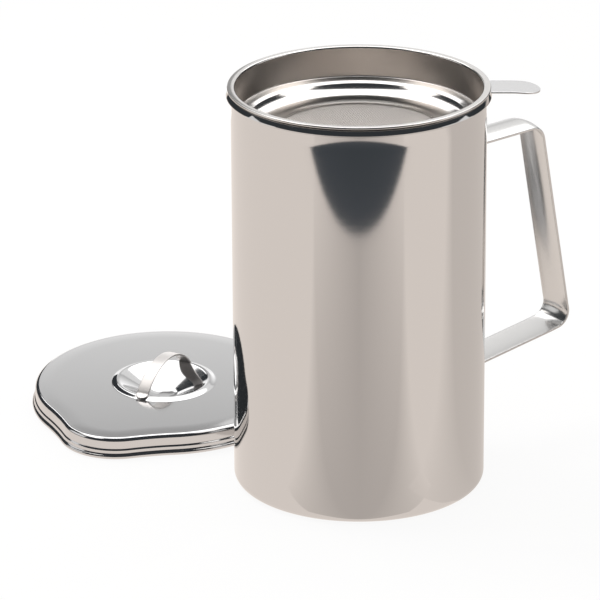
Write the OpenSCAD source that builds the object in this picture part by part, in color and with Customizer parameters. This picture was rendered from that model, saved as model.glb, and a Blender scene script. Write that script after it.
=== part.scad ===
// Grease container: a tall steel pot with a strap handle, a drop-in strainer with a woven mesh,
// and a loose lid that lies on the table beside the pot.
// Millimetres. The origin is the centre of the pot's flat base, +Z is up and +X runs out along the handle.

/* [Pot] */
// Outside radius of the pot wall
pot_r = 57; // [45:0.5:75]
// Height of the rolled rim's top above the table
pot_h = 186.2; // [182:0.2:190]
// Thickness of the pot's sheet
pot_t = 0.7; // [0.5:0.1:1]
// Radius of the rolled rim's tube
rim_r = 1.45; // [1.2:0.05:1.8]
// Outside radius of the corner between wall and base
corner_r = 4.4; // [3:0.1:8]

/* [Handle] */
// Width of the strap
strap_w = 18; // [14:0.5:20]
// Thickness of the strap
strap_t = 1.2; // [1:0.1:1.6]
// How far the middle of the strap bulges outwards
strap_crown = 1.2; // [0.8:0.1:2]
// Height of the strap's upper arm where it leaves the wall
arm_top_z = 149.8; // [140:0.5:155]
// Height of the strap's lower arm where it leaves the wall
arm_low_z = 40.9; // [36:0.5:50]
// Distance from the pot's axis to the upper bend
bend_top_x = 98.9; // [95:0.5:105]
// Distance from the pot's axis to the lower bend
bend_low_x = 117.3; // [112:0.5:120]
// Slope of the upper arm in degrees
arm_top_slope = 1.9; // [0:0.1:4]
// Slope of the lower arm in degrees
arm_low_slope = 8.95; // [4:0.05:12]
// Radius of the two bends at the strap's middle line
bend_r = 7.5; // [6:0.5:9]
// Length of each foot that is welded to the wall
foot_len = 14; // [10:0.5:18]

/* [Strainer] */
// Direction of the finger tab round the pot
tab_turn = -37; // [-60:1:-25]
// How far the tab's tip is from the pot's axis
tab_reach = 80.5; // [72:0.5:88]
// Width of the tab
tab_w = 16.5; // [12:0.5:20]
// Thickness of the tab
tab_t = 0.8; // [0.6:0.1:0.8]
// How far the tab's tip droops
tab_droop = 1.3; // [0.5:0.1:2]
// Radius of the open mesh
mesh_r = 36.4; // [30:0.2:38]

/* [Lid] */
// Outside radius of the lid's skirt
lid_r = 60.9; // [60.6:0.1:62]
// Height of the lid's flat top over the lower edge of its skirt
lid_h = 10.3; // [9:0.1:12]
// How far the lobe in the skirt reaches from the lid's axis
lobe_reach = 70.2; // [67:0.2:72]
// Direction of the lobe round the lid's axis
lobe_turn = -154; // [-165:1:-145]
// Radius of the rim round the finger cup
cup_r = 21.9; // [20:0.1:23]
// Height of that rim over the lid's flat top
cup_rise = 2.7; // [1.5:0.1:3]
// Direction of the lid's small strap
grip_turn = 28; // [0:1:60]
// Height of the lid's small strap over the flat top
grip_rise = 13.2; // [11:0.1:15]
// Distance of the lid's axis from the pot's axis
lid_away = 124.7; // [124:0.1:135]
// Direction from the pot's axis to the lid's axis
lid_side = 100.8; // [95:0.1:110]
// How far the lid leans where it rocks on its finger cup
lean = 2; // [1:0.1:2.5]
// Direction in which the lid leans down
lean_turn = -127; // [-160:1:-90]

/* [Hidden] */
$fn = 180;
steel = [0.78, 0.77, 0.75];
bright = [0.86, 0.86, 0.86];
woven = [0.66, 0.63, 0.60];

// The pot's rolled rim is a tube outside the wall, and the wall's inner face runs into it smoothly.
pot_in = pot_r - pot_t;
rim_x = pot_in + rim_r;
rim_z = pot_h - rim_r;

// The strainer's hemmed lip lies over the pot's rim, and its wall hangs just inside the pot's.
pan_t = 0.6;
lip_r = 0.7;
lip_x = pot_r + 1.1;
lip_z = pot_h + 0.3 + lip_r;
pan_top_r = pot_in - 0.4 - pan_t;
pan_low_r = pan_top_r - 0.6;
pan_low_z = pot_h - 9.9;
step_r = pan_low_r - 3.7;
step_z = pan_low_z - 1.9;
cone_r = mesh_r + 5.1;
cone_z = step_z - 6.1;
seat_r = mesh_r + 3.6;
seat_z = cone_z - 0.9;
mesh_t = 0.5;
mesh_edge = 2.4;
clamp_t = 0.8;

// The handle's bends. Each point is [distance from the pot's axis, height] on the strap's middle line.
foot_bend = 3;
lap = 0.02;
root_x = pot_r + strap_t / 2;
corner_top = [bend_top_x, arm_top_z + (bend_top_x - pot_r) * tan(arm_top_slope)];
corner_low = [bend_low_x, arm_low_z + (bend_low_x - pot_r) * tan(arm_low_slope)];
root_top = [root_x, arm_top_z + strap_t / 2 * tan(arm_top_slope)];
root_low = [root_x, arm_low_z + strap_t / 2 * tan(arm_low_slope)];
grip_lean = atan2(bend_low_x - bend_top_x, corner_top[1] - corner_low[1]);

// The lid's skirt in cross-section.
lid_t = 0.6;
edge_r = 2;
joggle = 0.6;
joggle_z = 4.2;
bead_r = 1.3;
bead_x = 0.4;
// The lobe is a round tip, joined to the round skirt by two hollow curves.
tip_r = 26;
hollow_r = 137.5;
tip_x = lobe_reach - tip_r;
hollow_turn = acos((pow(lid_r + hollow_r, 2) + pow(tip_x, 2) - pow(tip_r + hollow_r, 2))
    / (2 * tip_x * (lid_r + hollow_r)));
hollow_x = (lid_r + hollow_r) * cos(hollow_turn);
hollow_y = (lid_r + hollow_r) * sin(hollow_turn);
tip_turn = atan2(hollow_y, hollow_x - tip_x);
// The lid leans on its bead and on the floor of its finger cup.
bead_reach = tip_x * cos(lean_turn - lobe_turn) + tip_r + bead_x;
lid_z = bead_reach * sin(lean) + bead_r * (1 - cos(lean));
floor_r = 12;
floor_h = lid_t - (lid_z - floor_r * sin(lean)) / cos(lean);
flare_r = cup_r + 5.6;
rim_h = lid_h + cup_rise;
flare_steps = 8;
drop_steps = 12;

// The lid's small strap.
grip_w = 6;
grip_t = 0.8;
grip_r = 30;

function arc(centre, r, from, to, steps) =
    [for (i = [0:steps]) let (a = from + (to - from) * i / steps) centre + r * [cos(a), sin(a)]];
function left_of(a, b) = let (d = (b - a) / norm(b - a)) [-d[1], d[0]];
// The path moved sideways by t, to the left of its direction, with mitred corners.
function beside(path, t) = let (last = len(path) - 1)
    [for (i = [0:last]) let (
        before = left_of(path[max(i - 1, 0)], path[max(i, 1)]),
        after = left_of(path[min(i, last - 1)], path[min(i + 1, last)]),
        mitre = before + after) path[i] + 2 * t * mitre / (mitre * mitre)];
function reversed(list) = [for (i = [len(list) - 1:-1:0]) list[i]];

// Sheet metal in cross-section: a path given a thickness on its left, or on its right where t is negative.
module sheet(path, t) {
    polygon(concat(path, reversed(beside(path, t))));
}

// A rolled edge in cross-section: a tube, with a slit where the sheet's edge stops.
module curl(r, t, slit_turn) {
    difference() {
        circle(r, $fn = 48);
        circle(r - t, $fn = 32);
        rotate(slit_turn) translate([0, -0.2]) square([r + 1, 0.4]);
    }
}

// ---- Pot ----

module pot_shell() {
    corner = [pot_r - corner_r, corner_r];
    color(steel) rotate_extrude() {
        sheet(concat([[0, 0]], arc(corner, corner_r, -90, 0, 8), [[pot_r, rim_z]]), pot_t);
        translate([rim_x, rim_z]) curl(rim_r, pot_t, 262);
    }
}

// ---- Handle ----

// The strap in cross-section: x is outwards from the middle line, and y is across.
module strap_section() {
    across = [for (i = [0:6]) strap_w * (0.5 - i / 6)];
    function crown(s) = strap_crown * (0.5 - pow(2 * s / strap_w, 2));
    polygon(concat(
        [for (s = across) [crown(s) - strap_t / 2, s]],
        reversed([for (s = across) [crown(s) + strap_t / 2, s]])));
}

// A straight stretch from point a to point b, which bulges to its left.
module strap_straight(a, b) {
    along = b - a;
    translate([a[0], 0, a[1]]) rotate([0, -atan2(along[1], along[0]), 0]) rotate([0, 90, 0]) rotate([0, 0, 180])
        translate([0, 0, -lap]) linear_extrude(norm(along) + 2 * lap) strap_section();
}

// A bend about a centre, between two directions, which bulges away from the centre or towards it.
module strap_bend(centre, r, from, to, outwards = true) {
    translate([centre[0], 0, centre[1]]) rotate([90, 0, 0]) rotate([0, 0, from])
        rotate_extrude(angle = to - from) translate([r, 0]) mirror([outwards ? 0 : 1, 0]) strap_section();
}

// A foot that lies on the pot's wall between two heights.
module strap_foot(low, high) {
    intersection() {
        translate([0, 0, low]) difference() {
            cylinder(r = pot_r + strap_t, h = high - low);
            translate([0, 0, -1]) cylinder(r = pot_r, h = high - low + 2);
        }
        translate([0, -strap_w / 2, low]) cube([2 * pot_r, strap_w, high - low]);
    }
}

module handle_strap() {
    top_dir = [cos(arm_top_slope), sin(arm_top_slope)];
    low_dir = [cos(arm_low_slope), sin(arm_low_slope)];
    grip_dir = [sin(grip_lean), -cos(grip_lean)];
    // Where each straight stretch starts and ends.
    top_start = root_top + foot_bend * tan(45 + arm_top_slope / 2) * top_dir;
    top_cut = bend_r * tan((90 + arm_top_slope - grip_lean) / 2);
    low_cut = bend_r * tan((90 - arm_low_slope + grip_lean) / 2);
    top_end = corner_top - top_cut * top_dir;
    low_end = corner_low - low_cut * low_dir;
    low_start = root_low + foot_bend * tan(45 - arm_low_slope / 2) * low_dir;
    // The centres of the two foot bends.
    foot_top = top_start + foot_bend * [-top_dir[1], top_dir[0]];
    foot_low = low_start - foot_bend * [-low_dir[1], low_dir[0]];
    color(bright) {
        strap_straight(top_start, top_end);
        strap_bend(top_end - bend_r * [-top_dir[1], top_dir[0]], bend_r, grip_lean, 90 + arm_top_slope);
        strap_straight(corner_top + top_cut * grip_dir, corner_low - low_cut * grip_dir);
        strap_bend(low_end + bend_r * [-low_dir[1], low_dir[0]], bend_r, arm_low_slope - 90, grip_lean);
        strap_straight(low_end, low_start);
        difference() {
            union() {
                strap_bend(foot_top, foot_bend, 180, 270 + arm_top_slope, false);
                strap_bend(foot_low, foot_bend, 90 + arm_low_slope, 180, false);
            }
            translate([0, 0, 1]) cylinder(r = pot_r, h = pot_h);
        }
        strap_foot(foot_top[1] - lap, arm_top_z + foot_len);
        strap_foot(arm_low_z - foot_len, foot_low[1] + lap);
    }
}

// ---- Strainer ----

module strainer_pan() {
    top = lip_z + lip_r;
    path = [[lip_x, top], [pan_top_r + 0.8, top], [pan_top_r, top - 0.8], [pan_low_r, pan_low_z],
        [step_r, step_z], [cone_r, cone_z], [seat_r, seat_z], [mesh_r, seat_z]];
    color(bright) rotate_extrude() {
        sheet(path, pan_t);
        translate([lip_x, lip_z]) circle(lip_r, $fn = 48);
    }
}

module strainer_mesh() {
    color(woven) translate([0, 0, seat_z - pan_t - mesh_t]) cylinder(r = mesh_r + mesh_edge, h = mesh_t);
}

// An angle ring under the mesh, whose upstand reaches round the mesh's edge to the pan.
module mesh_clamp_ring() {
    ring_r = mesh_r + mesh_edge;
    color(bright) translate([0, 0, seat_z - pan_t - mesh_t - clamp_t]) difference() {
        cylinder(r = ring_r + clamp_t, h = clamp_t + mesh_t);
        translate([0, 0, -1]) cylinder(r = mesh_r, h = clamp_t + mesh_t + 2);
        translate([0, 0, clamp_t]) cylinder(r = ring_r, h = mesh_t + 1);
    }
}

// The tab is level beside the lip, and then curves down to its round tip.
module strainer_tab() {
    low = lip_z - lip_r;
    level_x = pot_r + 10;
    tip_centre = tab_reach - tab_w / 2;
    droop = [for (i = [0:8]) [level_x + (tab_reach - level_x) * i / 8, low - tab_droop * pow(i / 8, 2)]];
    color(bright) rotate([0, 0, tab_turn]) difference() {
        intersection() {
            translate([0, 0, low - 5]) linear_extrude(10) {
                translate([pot_r, -tab_w / 2]) square([tip_centre - pot_r, tab_w]);
                translate([tip_centre, 0]) circle(tab_w / 2, $fn = 64);
            }
            translate([0, tab_w, 0]) rotate([90, 0, 0]) linear_extrude(2 * tab_w)
                sheet(concat([[pot_r, low]], droop), tab_t);
        }
        translate([0, 0, low - 5]) cylinder(r = lip_x, h = 10);
        rotate_extrude() translate([lip_x, lip_z]) circle(lip_r, $fn = 48);
    }
}

// ---- Lid, in its own frame: its axis is Z and the skirt's lower edge is at height 0 ----

module place_lid() {
    translate([lid_away * cos(lid_side), lid_away * sin(lid_side), lid_z])
        rotate([0, 0, lean_turn]) rotate([0, lean, 0]) rotate([0, 0, -lean_turn]) children();
}

// The lid's outline, moved outwards by d: the round skirt, a hollow curve, the lobe's tip and a hollow curve.
function outline(d) = concat(
    arc([0, 0], lid_r + d, hollow_turn, 360 - hollow_turn, 48),
    [for (i = [1:2]) let (a = 180 - hollow_turn - (tip_turn - hollow_turn) * i / 3)
        [hollow_x, -hollow_y] + (hollow_r - d) * [cos(a), sin(a)]],
    arc([tip_x, 0], tip_r + d, -tip_turn, tip_turn, 10),
    [for (i = [1:2]) let (a = 180 + tip_turn - (tip_turn - hollow_turn) * i / 3)
        [hollow_x, hollow_y] + (hollow_r - d) * [cos(a), sin(a)]]);

// The skirt in cross-section, as [outwards from its outer face, height]: rounded edge, joggle and rolled bead.
function skirt_face() = concat(
    [[-edge_r - 1, lid_h]], arc([-edge_r, lid_h - edge_r], edge_r, 90, 0, 4),
    [[0, joggle_z + joggle], [joggle, joggle_z]], arc([bead_x, bead_r], bead_r, 80, -210, 8));

// The skirt is its cross-section carried round the outline.
module skirt() {
    section = concat(skirt_face(), reversed(beside(skirt_face(), -lid_t)));
    loops = [for (p = section) [for (q = outline(p[0])) [q[0], q[1], p[1]]]];
    n = len(section);
    m = len(loops[0]);
    polyhedron([for (loop = loops) each loop],
        [for (i = [0:n - 1]) for (j = [0:m - 1]) let (k = (i + 1) % n, l = (j + 1) % m)
            [i * m + j, i * m + l, k * m + l, k * m + j]]);
}

// The flat top: a disc, the lobe's round tip, and the patch between them less the two hollow curves.
module lid_plate() {
    translate([0, 0, lid_h - lid_t]) linear_extrude(lid_t) difference() {
        polygon(outline(-edge_r - 0.5));
        circle(flare_r - 0.5);
    }
}

// The cup's upper face: it flares up from the flat top to a rim and drops to a flat floor.
function flare_face() = [for (i = [0:flare_steps]) let (u = i / flare_steps)
    [flare_r + (cup_r - flare_r) * u, lid_h + cup_rise * u * u * (3 - 2 * u)]];
function drop_face() = [for (i = [1:drop_steps]) let (u = i / drop_steps)
    [cup_r + (floor_r - cup_r) * u, floor_h + (rim_h - floor_h) * (1 + cos(180 * u)) / 2]];
function cup_face() = concat(flare_face(), drop_face(), [[0, floor_h]]);

module lid_shell() {
    color(bright) place_lid() rotate([0, 0, lobe_turn]) {
        skirt();
        lid_plate();
        rotate_extrude() sheet(cup_face(), lid_t);
    }
}

// A bowed strip whose ends turn down on to the outside of the cup's rim.
module lid_strap() {
    crown_h = lid_h + grip_rise - grip_r;
    bow = asin((cup_r + 0.6) / grip_r);
    foot = [flare_r - 1.6, lid_h];
    path = concat([[-foot[0], foot[1]]], arc([0, crown_h], grip_r, 90 + bow, 90 - bow, 16), [foot]);
    color(bright) place_lid() rotate([0, 0, grip_turn]) difference() {
        translate([0, grip_w / 2, 0]) rotate([90, 0, 0]) linear_extrude(grip_w) sheet(path, -grip_t);
        rotate_extrude() polygon(concat([[flare_r, floor_h - 1], [0, floor_h - 1]], reversed(cup_face())));
    }
}

pot_shell();
handle_strap();
strainer_pan();
strainer_mesh();
mesh_clamp_ring();
strainer_tab();
lid_shell();
lid_strap();
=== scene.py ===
import math

import bmesh
import bpy
import numpy as np
from mathutils import Matrix, Vector


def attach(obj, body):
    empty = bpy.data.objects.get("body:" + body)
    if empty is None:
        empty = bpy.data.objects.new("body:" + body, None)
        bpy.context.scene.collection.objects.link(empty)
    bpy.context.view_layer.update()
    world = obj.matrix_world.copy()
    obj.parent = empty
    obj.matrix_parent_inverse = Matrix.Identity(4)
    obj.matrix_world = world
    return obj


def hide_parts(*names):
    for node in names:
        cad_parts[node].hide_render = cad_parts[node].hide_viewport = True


# Looks for the grease container: the pot, its strainer, and the lid that lies beside it.
# Shape values are in millimetres and degrees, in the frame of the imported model, and meshes are built in metres.
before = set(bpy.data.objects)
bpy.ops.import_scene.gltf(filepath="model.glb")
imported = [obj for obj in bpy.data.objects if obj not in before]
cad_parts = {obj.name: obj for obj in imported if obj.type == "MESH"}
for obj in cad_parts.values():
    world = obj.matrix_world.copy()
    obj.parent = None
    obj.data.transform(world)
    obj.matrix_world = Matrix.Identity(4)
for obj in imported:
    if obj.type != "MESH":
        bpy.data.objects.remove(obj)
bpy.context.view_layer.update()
scene = bpy.context.scene
mm = 0.001


# ---- Paths: arrays of [outwards, upwards] points ----

def arc(centre, radius, start, end, steps):
    turns = np.radians(np.linspace(start, end, steps + 1))
    return np.array(centre) + radius * np.stack([np.cos(turns), np.sin(turns)], 1)


def unit(v):
    return v / np.linalg.norm(v)


# The path through the points, with its inner corners rounded to the radii.
def rounded(points, radii, stepTurn):
    points = [np.array(p, float) for p in points]
    path = [points[0]]
    for before, corner, after, radius in zip(points, points[1:], points[2:], radii):
        a, b = unit(before - corner), unit(after - corner)
        half = math.acos(np.clip(a @ b, -1, 1)) / 2
        turn = math.pi - 2 * half
        centre = corner + unit(a + b) * radius / math.sin(half)
        u, v = corner + a * radius / math.tan(half) - centre, corner + b * radius / math.tan(half) - centre
        steps = max(2, round(math.degrees(turn) / stepTurn))
        for t in np.linspace(0, 1, steps + 1):
            path.append(centre + (math.sin((1 - t) * turn) * u + math.sin(t * turn) * v) / math.sin(turn))
    path.append(points[-1])
    return np.array(path)


# Unit vectors to the left of the path at each of its points.
def leftOf(path):
    legs = np.diff(path, axis=0)
    legs /= np.linalg.norm(legs, axis=1)[:, None]
    sides = np.stack([-legs[:, 1], legs[:, 0]], 1)
    before = np.vstack([sides[:1], sides])
    after = np.vstack([sides, sides[-1:]])
    both = before + after
    return 2 * both / (both * both).sum(1)[:, None]


# A closed outline of sheet metal: the path, and the same path moved to its left.
def sheetOutline(path, thickness):
    return np.vstack([path, (path + thickness * leftOf(path))[::-1]])


# ---- Meshes ----

def makeMesh(name, vertices, faces, sharp):
    mesh = bpy.data.meshes.new(name)
    mesh.from_pydata((np.array(vertices) * mm).tolist(), [], faces)
    work = bmesh.new()
    work.from_mesh(mesh)
    bmesh.ops.remove_doubles(work, verts=work.verts, dist=1e-6)
    bmesh.ops.recalc_face_normals(work, faces=work.faces)
    work.to_mesh(mesh)
    work.free()
    mesh.shade_smooth()
    mesh.set_sharp_from_angle(angle=math.radians(sharp))
    piece = bpy.data.objects.new(name, mesh)
    scene.collection.objects.link(piece)
    return piece


# Quads between loops of points that follow each other. The last loop joins the first where wrap is true.
def loopFaces(loops, size, wrap=True):
    faces = []
    for i in range(loops if wrap else loops - 1):
        k = (i + 1) % loops
        for j in range(size):
            l = (j + 1) % size
            faces.append((i * size + j, i * size + l, k * size + l, k * size + j))
    return faces


# A closed outline turned about the vertical axis.
def lathe(name, outline, steps):
    turns = np.linspace(0, 2 * math.pi, steps, endpoint=False)
    ring = np.stack([np.cos(turns), np.sin(turns)], 1)
    points = [np.column_stack([ring * r, np.full(steps, z)]) for r, z in outline]
    return makeMesh(name, np.vstack(points), loopFaces(len(outline), steps), sharp=40)


# A strap along a path in the XZ plane: it is crowned to the path's right, and its long edges are rounded.
def strap(name, path, halfWidths, thickness, crowns, columns, edge, dents=()):
    outwards = -leftOf(path)
    outwards /= np.linalg.norm(outwards, axis=1)[:, None]
    turns = np.radians([0, 30, 60, 90])
    rim = np.stack([np.sin(turns), np.cos(turns)], 1) * edge
    loops = []
    for centre, out, half, crown in zip(path, outwards, halfWidths, crowns):
        across = np.linspace(-half + edge, half - edge, columns)
        right = [(half - edge + a, thickness / 2 - edge + b) for a, b in rim]
        side = right + [(s, -o) for s, o in right[::-1]]
        section = [(s, thickness / 2) for s in across[:-1]] + side + [(s, -thickness / 2) for s in across[-2:0:-1]]
        section += [(-s, o) for s, o in side[::-1]][:-1]
        for s, o in section:
            lift = o + crown * (0.5 - (s / max(half, 1e-3)) ** 2)
            loops.append((centre[0] + out[0] * lift, s, centre[1] + out[1] * lift))
    points = np.array(loops)
    for dent in dents:
        near = np.linalg.norm(points - np.array(dent["at"]), axis=1) / dent["radius"]
        points[:, 0] -= dent["depth"] * np.clip(1 - near ** 2, 0, 1) ** 1.5
    size = len(points) // len(path)
    faces = loopFaces(len(path), size, wrap=False)
    faces += [tuple(range(size))[::-1], tuple(range(len(points) - size, len(points)))]
    return makeMesh(name, points, faces, sharp=50)


# Points along the path at about the same spacing, and how far along it each one is.
def resample(path, spacing):
    lengths = np.concatenate([[0], np.cumsum(np.linalg.norm(np.diff(path, axis=0), axis=1))])
    stops = np.linspace(0, lengths[-1], max(2, round(lengths[-1] / spacing)) + 1)
    return np.stack([np.interp(stops, lengths, path[:, k]) for k in (0, 1)], 1), stops


# ---- Materials ----

def newGroup(name, inputs, outputs):
    group = bpy.data.node_groups.new(name, "ShaderNodeTree")
    for label, kind, value in inputs:
        socket = group.interface.new_socket(label, in_out="INPUT", socket_type=kind)
        socket.default_value = value
    for label, kind in outputs:
        group.interface.new_socket(label, in_out="OUTPUT", socket_type=kind)
    return group, group.nodes.new("NodeGroupInput"), group.nodes.new("NodeGroupOutput")


def mathNode(tree, operation, a, b):
    node = tree.nodes.new("ShaderNodeMath")
    node.operation = operation
    for socket, value in zip(node.inputs, (a, b)):
        if isinstance(value, (int, float)):
            socket.default_value = value
        else:
            tree.links.new(value, socket)
    return node.outputs[0]


brush = {"lineDetail": 4.0, "lineRoughness": 0.6, "lineShare": 0.7, "cloudScale": 38.0, "cloudDetail": 3.0,
         "cloudShare": 0.3, "bumpDistance": 0.0001}


# Drawn steel: fine brush lines, and a slow unevenness of gloss. Lines run across the stretched axis of the scale.
def brushedGroup():
    group, inside, outside = newGroup(
        "brushedSteel",
        [("Line scale", "NodeSocketVector", (20, 20, 3000)), ("Roughness", "NodeSocketFloat", 0.25),
         ("Roughness spread", "NodeSocketFloat", 0.06), ("Line depth", "NodeSocketFloat", 0.02)],
        [("Roughness", "NodeSocketFloat"), ("Normal", "NodeSocketVector")])
    links = group.links
    place = group.nodes.new("ShaderNodeTexCoord")
    stretch = group.nodes.new("ShaderNodeVectorMath")
    stretch.operation = "MULTIPLY"
    links.new(place.outputs["Object"], stretch.inputs[0])
    links.new(inside.outputs["Line scale"], stretch.inputs[1])
    lines = group.nodes.new("ShaderNodeTexNoise")
    lines.inputs["Scale"].default_value = 1.0
    lines.inputs["Detail"].default_value = brush["lineDetail"]
    lines.inputs["Roughness"].default_value = brush["lineRoughness"]
    links.new(stretch.outputs[0], lines.inputs["Vector"])
    clouds = group.nodes.new("ShaderNodeTexNoise")
    clouds.inputs["Scale"].default_value = brush["cloudScale"]
    clouds.inputs["Detail"].default_value = brush["cloudDetail"]
    links.new(place.outputs["Object"], clouds.inputs["Vector"])
    both = mathNode(group, "ADD", mathNode(group, "MULTIPLY", lines.outputs[0], brush["lineShare"]),
                    mathNode(group, "MULTIPLY", clouds.outputs[0], brush["cloudShare"]))
    uneven = mathNode(group, "MULTIPLY", mathNode(group, "SUBTRACT", both, 0.5), inside.outputs["Roughness spread"])
    links.new(mathNode(group, "ADD", uneven, inside.outputs["Roughness"]), outside.inputs["Roughness"])
    bump = group.nodes.new("ShaderNodeBump")
    bump.inputs["Distance"].default_value = brush["bumpDistance"]
    links.new(inside.outputs["Line depth"], bump.inputs["Strength"])
    links.new(lines.outputs[0], bump.inputs["Height"])
    links.new(bump.outputs[0], outside.inputs["Normal"])
    return group


def steel(name, colour, roughness, spread, lineScale, lineDepth, anisotropy=0.0, turn=0.0):
    material = bpy.data.materials.new(name)
    material.use_nodes = True
    tree = material.node_tree
    shader = tree.nodes["Principled BSDF"]
    shader.inputs["Base Color"].default_value = (*colour, 1)
    shader.inputs["Metallic"].default_value = 1.0
    finish = tree.nodes.new("ShaderNodeGroup")
    finish.node_tree = brushed
    finish.inputs["Line scale"].default_value = lineScale
    finish.inputs["Roughness"].default_value = roughness
    finish.inputs["Roughness spread"].default_value = spread
    finish.inputs["Line depth"].default_value = lineDepth
    tree.links.new(finish.outputs["Roughness"], shader.inputs["Roughness"])
    tree.links.new(finish.outputs["Normal"], shader.inputs["Normal"])
    if anisotropy:
        shader.inputs["Anisotropic"].default_value = anisotropy
        shader.inputs["Anisotropic Rotation"].default_value = turn
        tangent = tree.nodes.new("ShaderNodeTangent")
        tangent.direction_type = "RADIAL"
        tangent.axis = "Z"
        tree.links.new(tangent.outputs[0], shader.inputs["Tangent"])
    return material


finishes = {
    "potSteel": {"colour": (0.66, 0.65, 0.645), "roughness": 0.055, "spread": 0.04, "lineScale": (12, 12, 2600),
                 "lineDepth": 0.02, "anisotropy": 0.6, "turn": 0.25},
    "lidSteel": {"colour": (0.66, 0.655, 0.655), "roughness": 0.1, "spread": 0.03, "lineScale": (60, 60, 60),
                 "lineDepth": 0.01},
    "panSteel": {"colour": (0.70, 0.68, 0.66), "roughness": 0.13, "spread": 0.04, "lineScale": (30, 30, 1400),
                 "lineDepth": 0.02},
    "wallSteel": {"colour": (0.76, 0.70, 0.65), "roughness": 0.3, "spread": 0.06, "lineScale": (30, 30, 1400),
                  "lineDepth": 0.03},
    "wireSteel": {"colour": (0.86, 0.81, 0.77), "roughness": 0.42, "spread": 0.05, "lineScale": (200, 200, 200),
                  "lineDepth": 0.02},
    "strapSteel": {"colour": (0.66, 0.65, 0.64), "roughness": 0.2, "spread": 0.05, "lineScale": (900, 25, 25),
                   "lineDepth": 0.02},
    "tabSteel": {"colour": (0.68, 0.675, 0.675), "roughness": 0.16, "spread": 0.04, "lineScale": (300, 300, 300),
                 "lineDepth": 0.02},
    "gripSteel": {"colour": (0.80, 0.77, 0.75), "roughness": 0.4, "spread": 0.05, "lineScale": (300, 300, 300),
                  "lineDepth": 0.02}}
brushed = brushedGroup()
steels = {name: steel(name, **values) for name, values in finishes.items()}


def finishPiece(piece, material, body, node):
    piece.data.materials.append(material)
    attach(piece, body)
    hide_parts(node)


# ---- Camera ----

view = {"azimuth": -37.0, "elevation": 20.937, "distance": 2119.4, "target": (0, 0, 92.13), "lens": 282.0,
        "sensor": 36.0, "pan": 0.718, "tilt": -0.163}


def makeCamera():
    azimuth, elevation = math.radians(view["azimuth"]), math.radians(view["elevation"])
    pan, tilt = math.radians(view["pan"]), math.radians(view["tilt"])
    ahead = Vector((math.sin(-azimuth), math.cos(azimuth), 0))
    forward = ahead * math.cos(elevation) - Vector((0, 0, math.sin(elevation)))
    right = forward.cross(Vector((0, 0, 1))).normalized()
    up = right.cross(forward)
    place = Vector(view["target"]) * mm - forward * view["distance"] * mm
    level = forward * math.cos(pan) - right * math.sin(pan)
    axes = [right * math.cos(pan) + forward * math.sin(pan),
            up * math.cos(tilt) - level * math.sin(tilt),
            -(level * math.cos(tilt) + up * math.sin(tilt))]
    camera = bpy.data.objects.new("camera", bpy.data.cameras.new("camera"))
    camera.data.lens = view["lens"]
    camera.data.sensor_width = view["sensor"]
    camera.matrix_world = Matrix.Translation(place) @ Matrix(axes).transposed().to_4x4()
    scene.collection.objects.link(camera)
    scene.camera = camera


makeCamera()
print("camera done")


# ---- Pot ----

pot = {"radius": 57.0, "height": 186.2, "sheet": 0.7, "corner": 4.4, "flareStart": 177.0, "flareEnd": 183.2,
       "flare": 0.3, "crestOut": 0.1, "rimTop": (57.7, 186.2), "rimEdge": (59.4, 183.9), "rimUnder": (58.4, 183.2),
       "rimEnd": (57.6, 183.7), "rimRounds": (0.5, 0.7, 0.55, 0.3), "steps": 360}


def makePot():
    inner, sheet = pot["radius"] - pot["sheet"], pot["sheet"]
    wall = rounded([(0, sheet), (inner, sheet), (inner, pot["flareStart"])], [pot["corner"] - sheet], stepTurn=6)
    rise = np.linspace(0, 1, 9)[1:]
    flare = np.stack([inner + pot["flare"] * rise ** 2,
                      pot["flareStart"] + (pot["flareEnd"] - pot["flareStart"]) * rise], 1)
    # The hem slopes down and out from its crest to a small rolled edge.
    hem = rounded([flare[-1], (flare[-1][0] + pot["crestOut"], pot["height"]), pot["rimTop"], pot["rimEdge"],
                   pot["rimUnder"], pot["rimEnd"]], pot["rimRounds"], stepTurn=9)
    # The path runs up the inner face, so the sheet lies on its right.
    outline = sheetOutline(np.vstack([wall, flare, hem[1:]]), -sheet)
    finishPiece(lathe("potShell", outline, pot["steps"]), steels["potSteel"], "pot", "pot_shell")


handle = {"width": 18.0, "sheet": 1.2, "edge": 0.35, "footBend": 3.0, "bend": 7.5, "lowFoot": 26.9, "lowRoot": 40.99,
          "lowCorner": (117.3, 50.4), "topCorner": (98.9, 151.19), "topRoot": 149.82, "topFoot": 163.8,
          "footCrown": 0.71, "gripCrown": 1.5, "lowCrown": 0.4, "crownFade": 8.0, "beforeGrip": 12.0,
          "afterCorner": 6.0, "endCorner": 4.0, "weld": 2.6, "weldDepth": 0.22, "weldAside": 4.2, "weldIn": 5.5}


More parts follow.
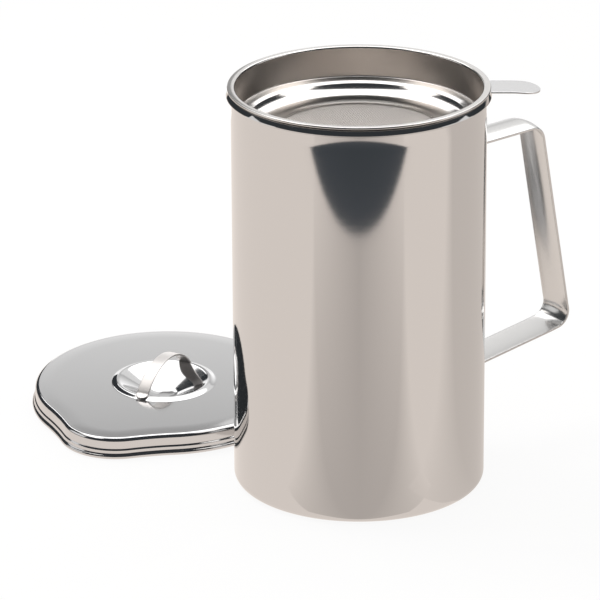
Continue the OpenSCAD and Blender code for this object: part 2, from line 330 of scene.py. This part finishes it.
# The strap's crown changes along it: slight at the feet, flatter on the lower arm and fuller on the grip.
def makeHandle():
    foot = pot["radius"] + handle["sheet"] / 2 - handle["footCrown"] / 2
    corners = [(foot, handle["lowFoot"]), (foot, handle["lowRoot"]), handle["lowCorner"], handle["topCorner"],
               (foot, handle["topRoot"]), (foot, handle["topFoot"])]
    radii = [handle["footBend"], handle["bend"], handle["bend"], handle["footBend"]]
    path, stops = resample(rounded(corners, radii, stepTurn=4), spacing=0.8)
    total = stops[-1]
    lowLength = handle["lowRoot"] - handle["lowFoot"]
    topLength = handle["topFoot"] - handle["topRoot"]
    armLength = handle["lowCorner"][0] - foot
    armEnd = lowLength + armLength
    fade = handle["crownFade"]
    places = [0, lowLength, lowLength + fade, armEnd - handle["beforeGrip"], armEnd + handle["afterCorner"],
              total - topLength - fade, total - topLength, total]
    names = ["footCrown"] * 2 + ["lowCrown"] * 2 + ["gripCrown"] * 2 + ["footCrown"] * 2
    crowns = np.interp(stops, places, [handle[name] for name in names])
    corner = handle["endCorner"]
    fromEnd = np.clip(np.minimum(stops, total - stops), 0, corner)
    halfWidths = handle["width"] / 2 - corner + np.sqrt(corner ** 2 - (corner - fromEnd) ** 2)
    face = pot["radius"] + handle["sheet"]
    welds = [(face, y, z) for y in (-handle["weldAside"], handle["weldAside"])
             for z in (handle["topFoot"] - handle["weldIn"], handle["lowFoot"] + handle["weldIn"])]
    dents = [{"at": at, "radius": handle["weld"], "depth": handle["weldDepth"]} for at in welds]
    piece = strap("handleStrap", path, halfWidths, handle["sheet"], crowns, columns=26, edge=handle["edge"],
                  dents=dents)
    finishPiece(piece, steels["strapSteel"], "pot", "handle_strap")


makePot()
makeHandle()
print("pot done")


# ---- Strainer ----

strainer = {"sheet": 0.6, "lipRadius": 58.1, "lipTube": 0.6, "lipTurns": (-110, 90), "lipTop": 187.9, "wallTop": 55.3,
            "wallLow": 54.7, "wallEnd": 173.9, "wallRound": 0.9, "step": (50.0, 172.27), "bowlRadius": 13.58,
            "bowlCentre": (39.61, 181.0), "bowlTurns": (-40.0, -88.0), "seat": (39.2, 167.4), "seatRound": 0.5,
            "hole": 36.4, "satinTop": 186.7, "satinReach": 55.6, "steps": 300}


def makePan():
    s = strainer
    lip = arc((s["lipRadius"], s["lipTop"] - s["lipTube"]), s["lipTube"], *s["lipTurns"], steps=14)
    wall = rounded([lip[-1], (s["wallTop"], s["lipTop"]), (s["wallLow"], s["wallEnd"]), s["step"]],
                   [s["wallRound"]] * 2, stepTurn=8)
    bowl = arc(s["bowlCentre"], s["bowlRadius"], *s["bowlTurns"], steps=20)
    seat = rounded([bowl[-1], s["seat"], (s["hole"], s["seat"][1])], [s["seatRound"]], stepTurn=8)
    outline = sheetOutline(np.vstack([lip, wall[1:-1], bowl, seat[1:]]), s["sheet"])
    piece = lathe("strainerPan", outline, s["steps"])
    finishPiece(piece, steels["panSteel"], "strainer", "strainer_pan")
    # The short wall is satin, and the rest is bright.
    piece.data.materials.append(steels["wallSteel"])
    for face in piece.data.polygons:
        reach, height = face.center.xy.length / mm, face.center.z / mm
        if s["wallEnd"] < height < s["satinTop"] and reach < s["satinReach"]:
            face.material_index = 1


weave = {"radius": 38.7, "pitch": 0.8, "wire": 0.13, "wave": 0.12, "turn": 27.0, "height": 166.52}


# Plain weave: each wire is a thin wave that passes over and under the wires across it.
def makeWeave():
    radius, pitch, thick = weave["radius"], weave["pitch"], weave["wire"]
    turn = math.radians(weave["turn"])
    corners = np.array([(0, thick), (thick, 0), (0, -thick), (-thick, 0)])
    count = int(radius / pitch)
    vertices, faces = [], []
    for way in (0, 1):
        along = np.array([math.cos(turn + way * math.pi / 2), math.sin(turn + way * math.pi / 2), 0])
        aside = np.array([-along[1], along[0], 0])
        for k in range(-count, count + 1):
            reach = math.sqrt(max(radius ** 2 - (k * pitch) ** 2, 0))
            steps = int(reach / (pitch / 2))
            stops = np.arange(-steps, steps + 1) * pitch / 2
            if len(stops) < 2:
                continue
            heights = weave["height"] + weave["wave"] * np.cos(np.pi * (stops / pitch + k + way))
            start = len(vertices)
            for stop, height in zip(stops, heights):
                middle = along * stop + aside * k * pitch
                for across, lift in corners:
                    point = middle + aside * across
                    vertices.append((point[0], point[1], height + lift))
            faces += [tuple(start + i for i in face) for face in loopFaces(len(stops), 4, wrap=False)]
    piece = makeMesh("strainerWeave", vertices, faces, sharp=180)
    finishPiece(piece, steels["wireSteel"], "strainer", "strainer_mesh")


tab = {"turn": -37.0, "root": 58.4, "reach": 80.5, "width": 16.5, "sheet": 0.8, "edge": 0.28, "height": 186.5,
       "level": 67.0, "droop": 1.3, "tipTurn": 88}


# A tongue with a round tip that droops a little beyond its level part.
def makeTab():
    tip = tab["width"] / 2
    tipStart = tab["reach"] - tip
    turns = np.radians(np.linspace(0, tab["tipTurn"], 24))
    straight = np.linspace(tab["root"], tipStart, 16)[:-1]
    reach = np.concatenate([straight, tipStart + tip * np.sin(turns)])
    fall = tab["droop"] * np.clip((reach - tab["level"]) / (tab["reach"] - tab["level"]), 0, 1) ** 2
    path = np.stack([reach, tab["height"] + tab["sheet"] / 2 - fall], 1)[::-1]
    halfWidths = np.concatenate([np.full(len(straight), tip), tip * np.cos(turns)])[::-1]
    piece = strap("strainerTab", path, halfWidths, tab["sheet"], np.zeros(len(path)), columns=20, edge=tab["edge"])
    piece.data.transform(Matrix.Rotation(math.radians(tab["turn"]), 4, "Z"))
    finishPiece(piece, steels["tabSteel"], "strainer", "strainer_tab")


makePan()
makeWeave()
makeTab()
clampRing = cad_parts["mesh_clamp_ring"]
clampRing.data.materials.clear()
clampRing.data.materials.append(steels["panSteel"])
print("strainer done")


# ---- Lid: built in its own frame, then leaned over and put beside the pot ----

lid = {"radius": 60.9, "top": 10.3, "sheet": 0.6, "edge": 2.0, "crownFall": 0.22, "crownStart": 2.4,
       "crownReach": 10.0, "joggle": 0.6, "joggleHeight": 4.2, "joggleRounds": (0.5, 0.4, 0.4), "beadTube": 1.15,
       "beadOut": 0.4, "beadTurns": (-210, 62), "aboveBead": 0.5, "lobeReach": 70.2, "lobeTip": 26.0,
       "hollow": 137.5, "lobeTurn": -154.0, "cupRim": 21.9, "cupRise": 1.3, "rimPoints": 17, "flare": 25.0,
       "flareMargin": 0.5, "floor": 2.0, "floorHeight": 2.6, "dropCurve": 0.25, "crestCurve": 0.06, "lean": 2.0,
       "leanTurn": -127.0, "away": 124.7, "side": 100.8}
lobeCentre = lid["lobeReach"] - lid["lobeTip"]
toHollow = lid["radius"] + lid["hollow"]
hollowTurn = math.degrees(math.acos((toHollow ** 2 + lobeCentre ** 2 - (lid["lobeTip"] + lid["hollow"]) ** 2)
                                    / (2 * lobeCentre * toHollow)))
hollowAt = np.array([toHollow * math.cos(math.radians(hollowTurn)), toHollow * math.sin(math.radians(hollowTurn))])
tipTurn = math.degrees(math.atan2(hollowAt[1], hollowAt[0] - lobeCentre))
leanTurn, lean = math.radians(lid["leanTurn"]), math.radians(lid["lean"])
beadReach = (lobeCentre * math.cos(leanTurn - math.radians(lid["lobeTurn"])) + lid["lobeTip"] + lid["beadOut"])
lidHeight = beadReach * math.sin(lean) + lid["beadTube"] * (1 - math.cos(lean))
cupRimTop = lid["top"] + lid["cupRise"]


def placeLid(piece):
    side = math.radians(lid["side"])
    away = Vector((lid["away"] * math.cos(side), lid["away"] * math.sin(side), lidHeight)) * mm
    tipOver = Matrix.Rotation(leanTurn, 4, "Z") @ Matrix.Rotation(lean, 4, "Y") @ Matrix.Rotation(-leanTurn, 4, "Z")
    piece.data.transform(Matrix.Translation(away) @ tipOver)


# The lid's outline, moved outwards by a distance: the round skirt, a hollow, the lobe's tip and a hollow.
def lidOutline(out):
    hollowNear = arc(hollowAt * (1, -1), lid["hollow"] - out, 180 - hollowTurn, 180 - tipTurn, steps=16)
    hollowFar = arc(hollowAt, lid["hollow"] - out, 180 + tipTurn, 180 + hollowTurn, steps=16)
    tip = arc((lobeCentre, 0), lid["lobeTip"] + out, -tipTurn, tipTurn, steps=48)
    body = arc((0, 0), lid["radius"] + out, hollowTurn, 360 - hollowTurn, steps=240)
    return np.vstack([body, hollowNear[1:-1], tip, hollowFar[1:-1]])


# The cup's upper face, from the flat top over the raised rim and down like a funnel to its small floor.
def cupPath():
    u = np.linspace(0, 1, lid["rimPoints"])
    flare = np.stack([lid["flare"] + (lid["cupRim"] - lid["flare"]) * u,
                      lid["top"] + lid["cupRise"] * u * u * (3 - 2 * u)], 1)
    curve, crest = lid["dropCurve"], lid["crestCurve"]
    u = np.linspace(0, 1, 41)
    fall = u - crest / 2 * (1 - np.clip(1 - u / crest, 0, 1) ** 2) + np.clip(u + curve - 1, 0, 1) ** 2 / (-2 * curve)
    left = 1 - fall / fall[-1]
    drop = np.stack([lid["cupRim"] + (lid["floor"] - lid["cupRim"]) * u,
                     lid["floorHeight"] + (cupRimTop - lid["floorHeight"]) * left], 1)
    # The first point keeps the flat top's shading flat up to the rim.
    margin = (lid["flare"] + lid["flareMargin"], lid["top"])
    return np.vstack([[margin], flare, drop[1:], [(0, lid["floorHeight"])]])


def makeLid():
    bead = arc((lid["beadOut"], lid["beadTube"]), lid["beadTube"], *lid["beadTurns"], steps=26)
    joggle = lid["joggle"]
    # The flat top falls a little before its edge.
    u = np.linspace(0, 1, 9)
    crown = np.stack([-lid["crownStart"] - (lid["crownReach"] - lid["crownStart"]) * u,
                      lid["top"] - lid["crownFall"] * (1 - u) ** 2], 1)
    side = rounded([bead[-1], (joggle, 2 * lid["beadTube"] + lid["aboveBead"]), (joggle, lid["joggleHeight"]),
                    (0, lid["joggleHeight"] + joggle), (0, lid["top"] - lid["crownFall"]), crown[0]],
                   [*lid["joggleRounds"], lid["edge"]], stepTurn=8)
    skirt = np.vstack([bead, side[1:-1], crown])
    cup = cupPath()
    skirtIn = skirt + lid["sheet"] * leftOf(skirt)
    cupIn = cup + lid["sheet"] * leftOf(cup)

    # Inside the top the loops are round, and towards the edge they follow the outline.
    def ring(r, h):
        turns = np.arctan2(*lidOutline(-lid["crownReach"]).T[::-1])
        return np.column_stack([r * np.cos(turns), r * np.sin(turns), np.full(len(turns), h)])

    def rim(d, h):
        line = lidOutline(d)
        return np.column_stack([line, np.full(len(line), h)])

    loops = [rim(d, h) for d, h in skirt] + [ring(r, h) for r, h in cup]
    loops += [ring(r, h) for r, h in cupIn[::-1]] + [rim(d, h) for d, h in skirtIn[::-1]]
    piece = makeMesh("lidShell", np.vstack(loops), loopFaces(len(loops), len(loops[0])), sharp=40)
    piece.data.transform(Matrix.Rotation(math.radians(lid["lobeTurn"]), 4, "Z"))
    placeLid(piece)
    finishPiece(piece, steels["lidSteel"], "lid", "lid_shell")


grip = {"width": 6.0, "sheet": 0.8, "edge": 0.2, "bow": 29.0, "rise": 12.2, "turn": 28.0, "bowEnd": 21.9,
        "footStart": 22.8, "footEnd": 24.3, "footLift": 0.496, "endCorner": 2.2}


# The small strap bows over the cup, and its feet lie on the outside of the cup's rim.
def makeGrip():
    middle = grip["bow"] - grip["sheet"] / 2
    centre = (0, lid["top"] + grip["rise"] - grip["bow"])
    bowTurn = math.degrees(math.asin(grip["bowEnd"] / middle))
    bow = arc(centre, middle, 90 + bowTurn, 90 - bowTurn, steps=40)
    rise = cupPath()[lid["rimPoints"]::-1]
    footSteps = np.linspace(grip["footStart"], grip["footEnd"], 8)
    foot = np.stack([footSteps, np.interp(footSteps, rise[:, 0], rise[:, 1]) + grip["footLift"]], 1)
    path, stops = resample(np.vstack([foot[::-1] * (-1, 1), bow, foot])[::-1], spacing=0.7)
    corner = grip["endCorner"]
    ends = np.clip(np.minimum(stops, stops[-1] - stops), 0, corner)
    halfWidths = grip["width"] / 2 - corner + np.sqrt(corner ** 2 - (corner - ends) ** 2)
    piece = strap("lidStrap", path, halfWidths, grip["sheet"], np.zeros(len(path)), columns=10, edge=grip["edge"])
    piece.data.transform(Matrix.Rotation(math.radians(grip["turn"]), 4, "Z"))
    placeLid(piece)
    finishPiece(piece, steels["gripSteel"], "lid", "lid_strap")


makeLid()
makeGrip()
print("lid done")


# ---- Studio ----

studio = {"floorHalf": 6000, "floorHeight": -0.4, "floor": (0.9, 0.88, 0.86), "floorRoughness": 0.8, "floorGlow": 0.9,
          "room": (0.04, 0.045, 0.05), "air": 0.9, "table": (0.94, 0.86, 0.80), "dark": (0.034, 0.043, 0.048),
          "dusk": (0.075, 0.083, 0.094), "shadeShare": 0.63, "sideShare": 0.78, "lampPlace": (-700, 300, 1100),
          "lampSize": 700, "lampWatts": 6, "wide": 1500, "potFront": -57, "tableEdge": -410, "duskEnd": -800,
          "roomEnd": -1600, "dimFrom": 45, "dimNear": -75, "dimFar": -15, "backWall": 500, "wallTop": 270,
          "sideLight": (2.0, 1.96, 1.92), "sideLightHeight": 900, "sideWall": 1000, "sideWallTone": 0.9}


def grey(value):
    return (value, value, value)


# A card in the studio that only shows in the steel. Its corners are in the photograph's frame, whose Y axis points
# away from the camera. Its glow changes evenly from the first tone, at its lower edge, to the last at its upper edge.
def card(name, corners, tones):
    turn = Matrix.Rotation(math.radians(view["azimuth"]), 3, "Z")
    mesh = bpy.data.meshes.new(name)
    mesh.from_pydata([turn @ Vector(c) * mm for c in corners], [], [(0, 1, 2, 3)])
    shade = mesh.uv_layers.new(name="tone")
    for corner, height in zip(shade.data, (0, 0, 1, 1)):
        corner.uv = (0.5, height)
    material = bpy.data.materials.new(name)
    material.use_nodes = True
    tree = material.node_tree
    tree.nodes.clear()
    place = tree.nodes.new("ShaderNodeTexCoord")
    split = tree.nodes.new("ShaderNodeSeparateXYZ")
    tree.links.new(place.outputs["UV"], split.inputs[0])
    mix = tree.nodes.new("ShaderNodeMix")
    mix.data_type = "RGBA"
    tree.links.new(split.outputs["Y"], mix.inputs[0])
    for socket, tone in zip((mix.inputs[6], mix.inputs[7]), tones):
        socket.default_value = (*tone, 1)
    glow = tree.nodes.new("ShaderNodeEmission")
    tree.links.new(mix.outputs[2], glow.inputs["Color"])
    out = tree.nodes.new("ShaderNodeOutputMaterial")
    tree.links.new(glow.outputs[0], out.inputs["Surface"])
    mesh.materials.append(material)
    piece = bpy.data.objects.new(name, mesh)
    scene.collection.objects.link(piece)
    for ray in ("camera", "diffuse", "transmission", "volume_scatter", "shadow"):
        setattr(piece, "visible_" + ray, False)


# The corners of a card that lies on the table, and of one that stands across the view.
def lying(left, right, first, last):
    return [(left, first, 1), (right, first, 1), (right, last, 1), (left, last, 1)]


def standing(left, right, place, low, high):
    return [(left, place, low), (right, place, low), (right, place, high), (left, place, high)]


def glowNode(tree, kind, colour):
    node = tree.nodes.new(kind)
    node.inputs["Color"].default_value = (*colour, 1)
    return node.outputs[0]


# The camera sees pure white, and the steel sees the tone that the photograph's reflections have.
def seenBySteel(tree, kind, steelTone, diffuse):
    paths = tree.nodes.new("ShaderNodeLightPath")
    first = tree.nodes.new("ShaderNodeMixShader")
    tree.links.new(mathNode(tree, "MAXIMUM", paths.outputs["Is Glossy Ray"], paths.outputs["Is Transmission Ray"]),
                   first.inputs[0])
    tree.links.new(diffuse, first.inputs[1])
    tree.links.new(glowNode(tree, kind, steelTone), first.inputs[2])
    return first.outputs[0], paths.outputs["Is Camera Ray"]


def makeFloor():
    half, low = studio["floorHalf"] * mm, studio["floorHeight"] * mm
    mesh = bpy.data.meshes.new("floor")
    mesh.from_pydata([(-half, -half, low), (half, -half, low), (half, half, low), (-half, half, low)],
                     [], [(0, 1, 2, 3)])
    material = bpy.data.materials.new("floor")
    material.use_nodes = True
    tree = material.node_tree
    shader = tree.nodes["Principled BSDF"]
    shader.inputs["Base Color"].default_value = (*studio["floor"], 1)
    shader.inputs["Roughness"].default_value = studio["floorRoughness"]
    steelSees, cameraSees = seenBySteel(tree, "ShaderNodeEmission", studio["table"], shader.outputs[0])
    share = tree.nodes.new("ShaderNodeMixShader")
    tree.links.new(mathNode(tree, "MULTIPLY", cameraSees, studio["floorGlow"]), share.inputs[0])
    tree.links.new(steelSees, share.inputs[1])
    tree.links.new(glowNode(tree, "ShaderNodeEmission", grey(1)), share.inputs[2])
    tree.links.new(share.outputs[0], tree.nodes["Material Output"].inputs["Surface"])
    mesh.materials.append(material)
    piece = bpy.data.objects.new("floor", mesh)
    scene.collection.objects.link(piece)


def makeWorld():
    world = bpy.data.worlds.new("studio")
    scene.world = world
    world.use_nodes = True
    tree = world.node_tree
    tree.nodes.clear()
    steelSees, cameraSees = seenBySteel(tree, "ShaderNodeBackground", studio["room"],
                                        glowNode(tree, "ShaderNodeBackground", grey(studio["air"])))
    share = tree.nodes.new("ShaderNodeMixShader")
    out = tree.nodes.new("ShaderNodeOutputWorld")
    tree.links.new(cameraSees, share.inputs[0])
    tree.links.new(steelSees, share.inputs[1])
    tree.links.new(glowNode(tree, "ShaderNodeBackground", grey(1)), share.inputs[2])
    tree.links.new(share.outputs[0], out.inputs["Surface"])


def makeKeyLamp():
    lamp = bpy.data.lights.new("keyLamp", "AREA")
    lamp.shape = "DISK"
    lamp.size = studio["lampSize"] * mm
    lamp.energy = studio["lampWatts"]
    piece = bpy.data.objects.new("keyLamp", lamp)
    turn = Matrix.Rotation(math.radians(view["azimuth"]), 3, "Z")
    piece.location = turn @ Vector(studio["lampPlace"]) * mm
    piece.rotation_euler = (-piece.location).to_track_quat("-Z", "Y").to_euler()
    piece.visible_glossy = False
    scene.collection.objects.link(piece)


makeFloor()
makeWorld()
makeKeyLamp()
dark, dusk, table = studio["dark"], studio["dusk"], studio["table"]
shade = tuple(studio["shadeShare"] * tone for tone in table)
side = tuple(studio["sideShare"] * tone for tone in table)
wide, front, edge = studio["wide"], studio["potFront"], studio["tableEdge"]
wall, wallTop = studio["backWall"], studio["wallTop"]
cards = {
    # Beyond the table's front edge the room is dark, and the pot shades the table in front of it.
    "tableEnd": (lying(-wide, wide, edge, studio["duskEnd"]), (dusk, dark)),
    "roomFloor": (lying(-wide, wide, studio["duskEnd"], studio["roomEnd"]), (dark, dark)),
    "shadeLeft": ([(0, front, 1), (0, edge, 1), (-330, edge, 1), (-60, front, 1)], (shade, table)),
    "shadeRight": ([(0, front, 1), (0, edge, 1), (330, edge, 1), (60, front, 1)], (shade, table)),
    # To the right the table is dimmer.
    "tableTurn": (lying(studio["dimFrom"], wide, studio["dimNear"], studio["dimFar"]), (table, side)),
    "tableRight": (lying(studio["dimFrom"], wide, studio["dimFar"], wide), (side, side)),
    # Behind the table are a backdrop and, above it, a large soft light.
    "backdrop": (standing(-230, 230, wall, 0, wallTop), (grey(1.55), grey(0.56))),
    "upperBackdrop": (standing(-70, 300, wall, wallTop, 480), (grey(0.97), grey(0.97))),
    "leftBackdrop": (standing(-300, -70, wall + 1, wallTop, 520), (grey(0.5), grey(0.12))),
    "softLight": ([(-600, 1000, 560), (600, 1000, 560), (600, 20, 1190), (-600, 20, 1190)], (grey(2.2), grey(2.2)))}
# At each side there are a high light, and a low wall that keeps the lid's top light in the views from the sides.
height, wallTone = studio["sideLightHeight"], grey(studio["sideWallTone"])
for way, name in ((-1, "leftLight"), (1, "rightLight")):
    at = way * studio["sideWall"]
    high = [(way * 400, -250, height), (way * 650, -250, height), (way * 950, 300, height), (way * 400, 300, height)]
    low = [(at, -300, 150), (at, 360, 150), (at, 360, 700), (at, -300, 700)]
    cards[name] = (high, (studio["sideLight"], studio["sideLight"]))
    cards[name + "Wall"] = (low, (wallTone, wallTone))
for name, (corners, tones) in cards.items():
    card(name, corners, tones)
print("studio done")

scene.view_settings.view_transform = "Standard"
